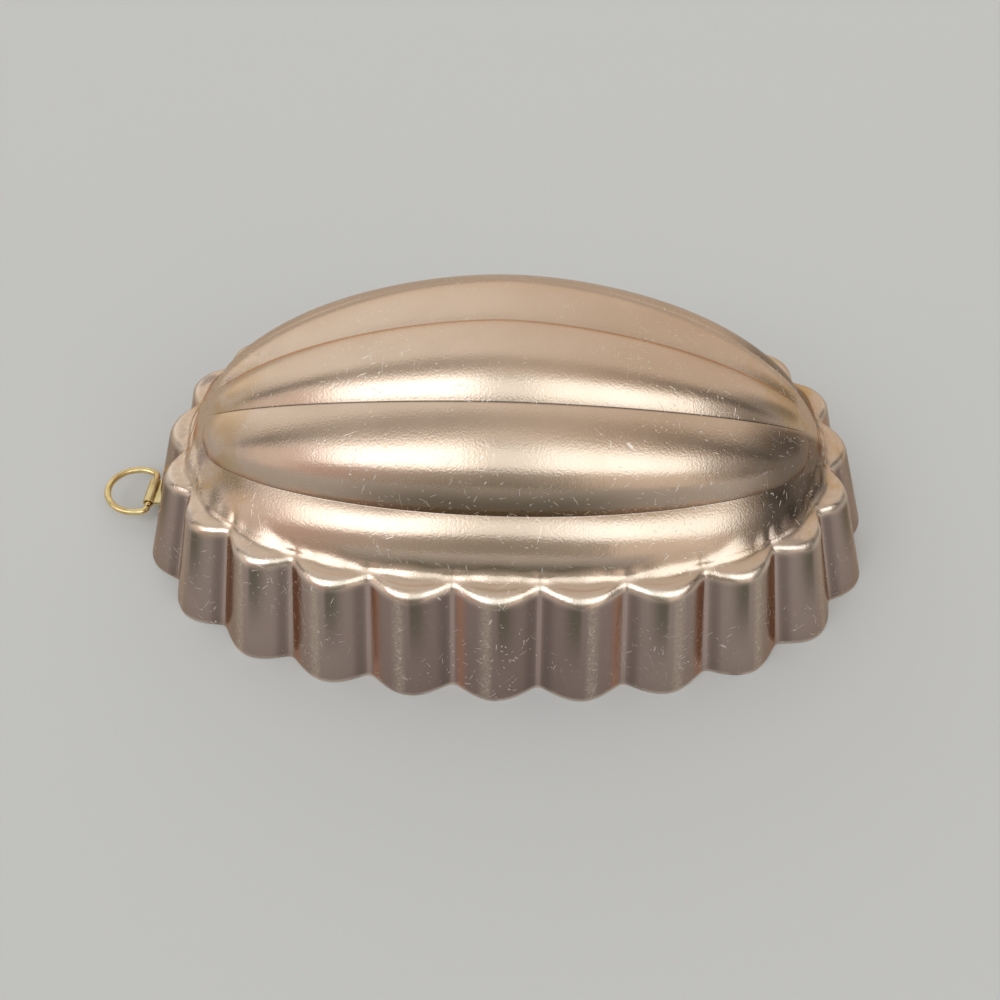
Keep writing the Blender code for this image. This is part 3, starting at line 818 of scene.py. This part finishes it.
class Graph:
    """Short calls that build a node tree."""

    def __init__(self, tree):
        self.tree = tree

    def add(self, kind, inputs, **settings):
        """A node with its settings, its inputs given as values or as other nodes' outputs."""
        new = self.tree.nodes.new(kind)
        for name, value in settings.items():
            setattr(new, name, value)
        for name, value in inputs.items():
            if isinstance(value, bpy.types.NodeSocket):
                self.tree.links.new(value, new.inputs[name])
            else:
                new.inputs[name].default_value = value
        return new

    def math(self, operation, *values):
        """A sum on numbers."""
        return self.add("ShaderNodeMath", dict(enumerate(values)), operation=operation).outputs[0]

    def vector(self, operation, *values):
        """A sum on vectors or colours."""
        new = self.add("ShaderNodeVectorMath", dict(enumerate(values)), operation=operation)
        return new.outputs["Value" if operation in ("LENGTH", "DOT_PRODUCT") else "Vector"]

    def noise(self, coordinates, scale, detail=2.0, roughness=0.5):
        """Soft random values round 0.5."""
        inputs = {"Vector": coordinates, "Scale": scale, "Detail": detail, "Roughness": roughness}
        return self.add("ShaderNodeTexNoise", inputs).outputs["Fac"]

    def band(self, value, low, high, smooth=True):
        """0 below low, 1 above high."""
        inputs = {"Value": value, "From Min": low, "From Max": high}
        kind = "SMOOTHSTEP" if smooth else "LINEAR"
        return self.add("ShaderNodeMapRange", inputs, interpolation_type=kind).outputs["Result"]

    def fall(self, value, low, high):
        """1 below low, 0 above high."""
        return self.math("SUBTRACT", 1.0, self.band(value, low, high))

    def product(self, first, *others):
        """Product of numbers."""
        for other in others:
            first = self.math("MULTIPLY", first, other)
        return first

    def largest(self, first, *others):
        """Largest of numbers."""
        for other in others:
            first = self.math("MAXIMUM", first, other)
        return first

    def between(self, value, rise, drop):
        """1 from the end of rise to the start of drop, 0 outside the two."""
        return self.product(self.band(value, *rise), self.fall(value, *drop))

    def mix(self, first, second, *shares):
        """The first colour, mixed towards the second by the product of the shares."""
        new = self.tree.nodes.new("ShaderNodeMix")
        new.data_type = "RGBA"
        for index, value in ((0, self.product(*shares)), (6, first), (7, second)):
            if isinstance(value, bpy.types.NodeSocket):
                self.tree.links.new(value, new.inputs[index])
            else:
                new.inputs[index].default_value = (*value, 1.0) if index else value
        return new.outputs[2]

    def ramp(self, value, stops):
        """Colour that changes smoothly with value through the stops, each a value and a colour."""
        low, high = stops[0][0], stops[-1][0]
        new = self.add("ShaderNodeValToRGB", {"Fac": self.band(value, low, high, smooth=False)})
        new.color_ramp.interpolation = "EASE"
        elements = new.color_ramp.elements
        elements[0].color = (*stops[0][1], 1.0)
        elements[1].color = (*stops[-1][1], 1.0)
        for place, colour in stops[1:-1]:
            elements.new((place - low) / (high - low)).color = (*colour, 1.0)
        return new.outputs["Color"]

    def attribute(self, name):
        """A value stored on the mesh's points."""
        return self.add("ShaderNodeAttribute", {}, attribute_name=name).outputs["Fac"]

    def scratches(self, coordinates, spacing, length, width, share, shift):
        """1 along fine straight scratches. Each is a thin slice through one random cell of space."""
        moved = self.vector("ADD", coordinates, (shift, 2 * shift, 3 * shift))
        cell = self.add("ShaderNodeTexVoronoi", {"Vector": moved, "Scale": 1 / spacing})
        local = self.vector("SUBTRACT", moved, cell.outputs["Position"])
        normal = self.vector("NORMALIZE", self.vector("SUBTRACT", cell.outputs["Color"], (0.5, 0.5, 0.5)))
        off_line = self.math("ABSOLUTE", self.vector("DOT_PRODUCT", local, normal))
        line = self.fall(off_line, 0.3 * width, width)
        fade = self.fall(self.vector("LENGTH", local), 0.4 * length, length)
        chance = self.add("ShaderNodeTexWhiteNoise", {"Vector": cell.outputs["Position"]}).outputs["Value"]
        return self.product(line, fade, self.math("LESS_THAN", chance, share))


def new_material(name):
    """A metal, with its graph, its shader and the place on the object that its patterns follow."""
    material = bpy.data.materials.new(name)
    material.use_nodes = True
    graph = Graph(material.node_tree)
    shader = material.node_tree.nodes["Principled BSDF"]
    shader.inputs["Metallic"].default_value = 1.0
    shader.inputs["Specular Tint"].default_value = (*EDGE_TINT, 1.0)
    place = graph.add("ShaderNodeTexCoord", {}).outputs["Object"]
    return material, graph, shader, place


def set_surface(graph, shader, colour, roughness, height):
    """Gives the shader its colour, its roughness and its relief, a height in metres."""
    graph.tree.links.new(colour, shader.inputs["Base Color"])
    graph.tree.links.new(roughness, shader.inputs["Roughness"])
    bump = graph.add("ShaderNodeBump", {"Height": height, "Strength": 1.0, "Distance": 1.0})
    graph.tree.links.new(bump.outputs["Normal"], shader.inputs["Normal"])


def with_painted_columns(graph, place, height, skirt, colour):
    """Painted columns down each flute: a painted highlight and painted shade beside its middle,
    painted reflection and painted shade beside the valleys, and a painted highlight in each valley.

    Returns the colour with them, and where the painted highlights are.
    """
    crown = graph.attribute("crown")
    away = graph.attribute("away")
    towards = graph.product(away, -1.0)
    speckle = graph.band(graph.noise(place, 1400.0, detail=3.0, roughness=0.7), 0.36, 0.62)
    painted_highlight = graph.product(graph.band(crown, 0.56, 0.80), graph.band(away, 0.05, 0.55), skirt,
                         graph.math("ADD", graph.product(speckle, 0.7), 0.3))
    colour = graph.mix(colour, PAINTED_HIGHLIGHT_COLUMN, painted_highlight, 0.5)
    dark = graph.product(graph.band(crown, 0.45, 0.80), graph.band(towards, 0.0, 0.40), skirt,
                         graph.band(height, *PAINTED_SHADE_COLUMNS))
    colour = graph.mix(colour, PAINTED_SHADE_COLUMN, dark, 0.85)
    near_valley = graph.product(graph.fall(crown, 0.20, 0.40), skirt)
    colour = graph.mix(colour, PAINTED_REFLECTION_COLUMN, near_valley, graph.band(away, 0.10, 0.50), 0.85)
    colour = graph.mix(colour, PAINTED_SHADE_BROWN_COLUMN, near_valley, graph.band(towards, 0.10, 0.50), 0.6)
    return graph.mix(colour, PAINTED_HIGHLIGHT_IN_VALLEY, graph.fall(crown, 0.03, 0.08), skirt, 0.5), painted_highlight


def sheet_marks(graph, place, *crowded):
    """The sheet's scratches and specks. Most lie in clusters and where crowded is high."""
    marks = [graph.product(graph.scratches(place, *sizes), strength) for *sizes, strength in SHEET_SCRATCHES]
    clusters = graph.band(graph.noise(place, 60.0, detail=2.0), 0.44, 0.64)
    clusters = graph.math("ADD", graph.product(clusters, 0.85), 0.1)
    return graph.product(graph.largest(*marks), graph.largest(clusters, *crowded))


def copper_tone():
    """Rose-champagne anodised aluminium: satin, finely scratched, mauve-brown on the skirt, with painted
    shade on the lobes, in the creases and over the skirt, and painted columns down the flutes.
    """
    material, graph, shader, place = new_material("copper_tone_aluminium")
    split = graph.add("ShaderNodeSeparateXYZ", {"Vector": place})
    height = split.outputs["Z"]
    over_ledge = graph.math("SUBTRACT", height, SKIRT_HEIGHT)
    skirt = graph.fall(height, *SKIRT_TOP)
    off_middle = graph.math("SUBTRACT", split.outputs["X"], MOULD_CENTRE_X)
    along = graph.math("ABSOLUTE", off_middle)
    mid_length = graph.fall(along, *MID_LENGTH)
    dome_ends = graph.band(along, *DOME_ENDS)

    # Stains at the dome's ends
    patches = graph.band(graph.noise(place, 38.0, detail=4.0, roughness=0.6), 0.35, 0.7)
    colour = graph.mix(ROSE, DEEP_ROSE, patches)
    stains = graph.noise(place, 75.0, detail=4.0, roughness=0.65)
    colour = graph.mix(colour, OCHRE_STAIN, dome_ends, graph.band(stains, 0.48, 0.66), 0.8)
    colour = graph.mix(colour, BROWN_STAIN, dome_ends, graph.fall(stains, 0.32, 0.47), 0.8)

    # Painted shade low on the lobes, most at mid-length, and tarnish with painted shade on their right tips
    # below the crest
    shade = graph.product(graph.band(graph.attribute("shade"), 0.0, 0.75),
                          graph.math("ADD", graph.product(mid_length, 0.72), 0.14))
    colour = graph.mix(colour, LOBE_PAINTED_SHADE, shade)
    # The lobes' right tips get tarnish with painted shade
    aside = graph.math("ABSOLUTE", split.outputs["Y"])
    below_crest = graph.math("SUBTRACT", aside, graph.product(over_ledge, 0.6))
    right_tips = graph.product(graph.band(off_middle, *RIGHT_TIPS), graph.band(below_crest, 0.0, 0.003),
                               graph.band(over_ledge, 0.0003, 0.0023))
    colour = graph.mix(colour, TIP_TARNISH_AND_SHADE, right_tips, 0.80)

    # Skirt darkened by painted shade and its painted columns, grime and painted shade in the creases, rubbed
    # edges and scratches
    colour = graph.mix(colour, graph.mix(SKIRT_PAINTED_SHADE_AT_ENDS, SKIRT_PAINTED_SHADE_AT_MIDDLE, mid_length), skirt)
    colour, painted_highlight = with_painted_columns(graph, place, height, skirt, colour)
    colour = graph.mix(colour, CREASE_GRIME_AND_SHADE, graph.attribute("grime_and_shade"), 0.95)
    smears = graph.noise(place, 140.0, detail=3.0)
    rubbed = graph.largest(graph.attribute("wear"), graph.fall(height, *RUBBED_RIM))
    colour = graph.mix(colour, RUBBED_EDGE, rubbed, graph.band(smears, 0.25, 0.60), 0.6)
    marks = sheet_marks(graph, place, painted_highlight, graph.product(shade, 1.1), graph.product(right_tips, 0.6))
    colour = graph.mix(colour, SCRATCHED_SHEET, marks, 0.75)

    # Relief and gloss
    grain = graph.noise(place, 1800.0, detail=1.0)
    streaks = graph.noise(graph.vector("MULTIPLY", place, (1500.0, 60.0, 60.0)), 1.0, detail=1.0)
    relief = graph.math("ADD", graph.product(grain, 3.2e-5), graph.product(streaks, 1.2e-5))
    relief = graph.math("SUBTRACT", relief, graph.product(marks, 2.5e-5))
    on_ledge = graph.fall(graph.math("ABSOLUTE", over_ledge), 0.00004, 0.0004)
    roughness = 0.17
    for area, gain in ((smears, 0.08), (on_ledge, 0.18), (marks, 0.25)):
        roughness = graph.math("ADD", roughness, graph.product(area, gain))
    set_surface(graph, shader, colour, roughness, relief)
    return material


def brass(name, colours, base_roughness):
    """Brass with brown tarnish in soft patches and fine drawing lines."""
    material, graph, shader, place = new_material(name)
    patches = graph.noise(place, 260.0, detail=4.0, roughness=0.6)
    colour = graph.mix(*colours, graph.band(patches, 0.38, 0.68))
    marks = graph.scratches(place, *BRASS_SCRATCHES)
    colour = graph.mix(colour, SCRATCHED_BRASS, marks, 0.5)
    grain = graph.noise(place, 5200.0, detail=2.0)
    relief = graph.math("SUBTRACT", graph.product(grain, 4e-6), graph.product(marks, 6e-6))
    roughness = graph.math("ADD", base_roughness, graph.product(patches, 0.15))
    set_surface(graph, shader, colour, roughness, relief)
    return material


def build_floor():
    """A plain pale floor."""
    material = bpy.data.materials.new("floor")
    material.use_nodes = True
    shader = material.node_tree.nodes["Principled BSDF"]
    shader.inputs["Roughness"].default_value = 0.85
    shader.inputs["Base Color"].default_value = (*FLOOR_GREY, 1.0)
    bpy.ops.mesh.primitive_circle_add(vertices=FLOOR_SIDES, radius=FLOOR_RADIUS, fill_type="NGON")
    floor = bpy.context.active_object
    floor.name = "floor"
    floor.data.materials.append(material)


def add_camera():
    """The photograph's camera."""
    data = bpy.data.cameras.new("camera")
    data.sensor_fit = "HORIZONTAL"
    data.sensor_width = SENSOR_WIDTH
    data.lens = SENSOR_WIDTH * CAMERA_FOCUS
    data.clip_start = NEAREST_VIEW
    ahead = Vector((math.sin(CAMERA_AZIMUTH) * math.cos(CAMERA_ELEVATION),
                    math.cos(CAMERA_AZIMUTH) * math.cos(CAMERA_ELEVATION),
                    -math.sin(CAMERA_ELEVATION)))
    level_right = Vector((math.cos(CAMERA_AZIMUTH), -math.sin(CAMERA_AZIMUTH), 0.0))
    level_up = level_right.cross(ahead)
    right = math.cos(CAMERA_ROLL) * level_right + math.sin(CAMERA_ROLL) * level_up
    up = math.cos(CAMERA_ROLL) * level_up - math.sin(CAMERA_ROLL) * level_right
    place = Vector((MOULD_CENTRE_X, 0.0, 0.0))
    place -= CAMERA_OFFSET[0] * right - CAMERA_OFFSET[1] * up + CAMERA_OFFSET[2] * ahead
    camera = bpy.data.objects.new("camera", data)
    bpy.context.scene.collection.objects.link(camera)
    camera.matrix_world = Matrix.Translation(place) @ Matrix((right, up, -ahead)).transposed().to_4x4()
    bpy.context.scene.camera = camera


def add_world():
    """A soft room: a bright ceiling behind, a dim beam overhead, large windows and walls in front.

    A direction is told by its leans to the front and to the right, in degrees from straight up.
    """
    world = bpy.data.worlds.new("room")
    bpy.context.scene.world = world
    world.use_nodes = True
    graph = Graph(world.node_tree)
    direction = graph.add("ShaderNodeTexCoord", {}).outputs["Generated"]
    split = graph.add("ShaderNodeSeparateXYZ", {"Vector": direction})
    forward = graph.product(split.outputs["Y"], -1.0)
    front = graph.math("DEGREES", graph.math("ARCTAN2", forward, split.outputs["Z"]))
    right = graph.math("DEGREES", graph.math("ARCSINE", split.outputs["X"]))

    ceiling = graph.ramp(right, (
        (-90, ROOM_SIDES), (-68, (0.64, 0.62, 0.58)), (-50, (0.92, 0.915, 0.875)),
        (-28, (0.87, 0.86, 0.82)), (10, (0.79, 0.75, 0.69)), (28, (0.69, 0.625, 0.55)),
        (47, (0.67, 0.61, 0.535)), (62, (0.27, 0.26, 0.24)), (90, ROOM_SIDES),
    ))
    beam = graph.ramp(right, (
        (-90, WHITE), (-70, (0.30, 0.30, 0.30)), (-62, (0.24, 0.23, 0.22)),
        (-52, (0.32, 0.30, 0.28)), (-42, (0.48, 0.46, 0.44)), (-30, (0.54, 0.52, 0.50)),
        (-15, (0.54, 0.53, 0.51)), (5, (0.72, 0.71, 0.69)), (20, (0.76, 0.74, 0.72)),
        (32, (0.58, 0.56, 0.54)), (46, (0.32, 0.32, 0.32)), (56, (0.26, 0.26, 0.26)),
        (72, (0.30, 0.30, 0.30)), (90, WHITE),
    ))
    walls = graph.ramp(right, (
        (-90, ROOM_SIDES), (-62, (0.82, 0.74, 0.68)), (-50, (0.60, 0.47, 0.42)),
        (-25, (0.50, 0.46, 0.42)), (0, (0.31, 0.31, 0.265)), (12, (0.38, 0.365, 0.32)),
        (24, (0.80, 0.73, 0.65)), (46, (0.86, 0.79, 0.70)), (56, (0.42, 0.39, 0.35)),
        (66, (0.24, 0.23, 0.21)), (90, ROOM_SIDES),
    ))
    dimmed = graph.vector("MULTIPLY", ceiling, beam)
    colour = graph.mix(ceiling, dimmed, graph.between(front, (-22.0, -5.0), (3.0, 14.0)))
    colour = graph.mix(colour, walls, graph.band(front, 14.0, 24.0))

    at_windows = graph.between(front, (12.0, 27.0), (49.0, 61.0))
    left_window = graph.between(right, (-57.0, -38.0), (-13.0, -5.0))
    right_window = graph.between(right, (4.0, 11.0), (44.0, 56.0))
    middle_window = graph.between(right, (-13.0, -5.0), (4.0, 11.0))
    colour = graph.mix(colour, (2.35, 2.45, 2.55), left_window, at_windows)
    colour = graph.mix(colour, (1.75, 1.9, 1.95), right_window, at_windows)
    colour = graph.mix(colour, (1.15, 1.25, 1.25), middle_window, graph.band(front, 12.0, 30.0), at_windows)
    background = world.node_tree.nodes["Background"]
    graph.tree.links.new(colour, background.inputs["Color"])
    background.inputs["Strength"].default_value = 1.0


def assign(piece, material):
    """Gives a piece its only material."""
    piece.data.materials.clear()
    piece.data.materials.append(material)


shell = build_shell()
assign(shell, copper_tone())
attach(shell, "mould")
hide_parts("mould_shell")

strap = build_strap()
assign(strap, brass("dull_brass", DULL_BRASS, 0.26))
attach(strap, "mould")
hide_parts("hanger_strap")

ring = build_ring()
assign(ring, brass("bright_brass", BRIGHT_BRASS, 0.19))
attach(ring, "ring")
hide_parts("hanging_ring")

build_floor()
add_world()
add_camera()
bpy.context.scene.view_settings.view_transform = "Standard"
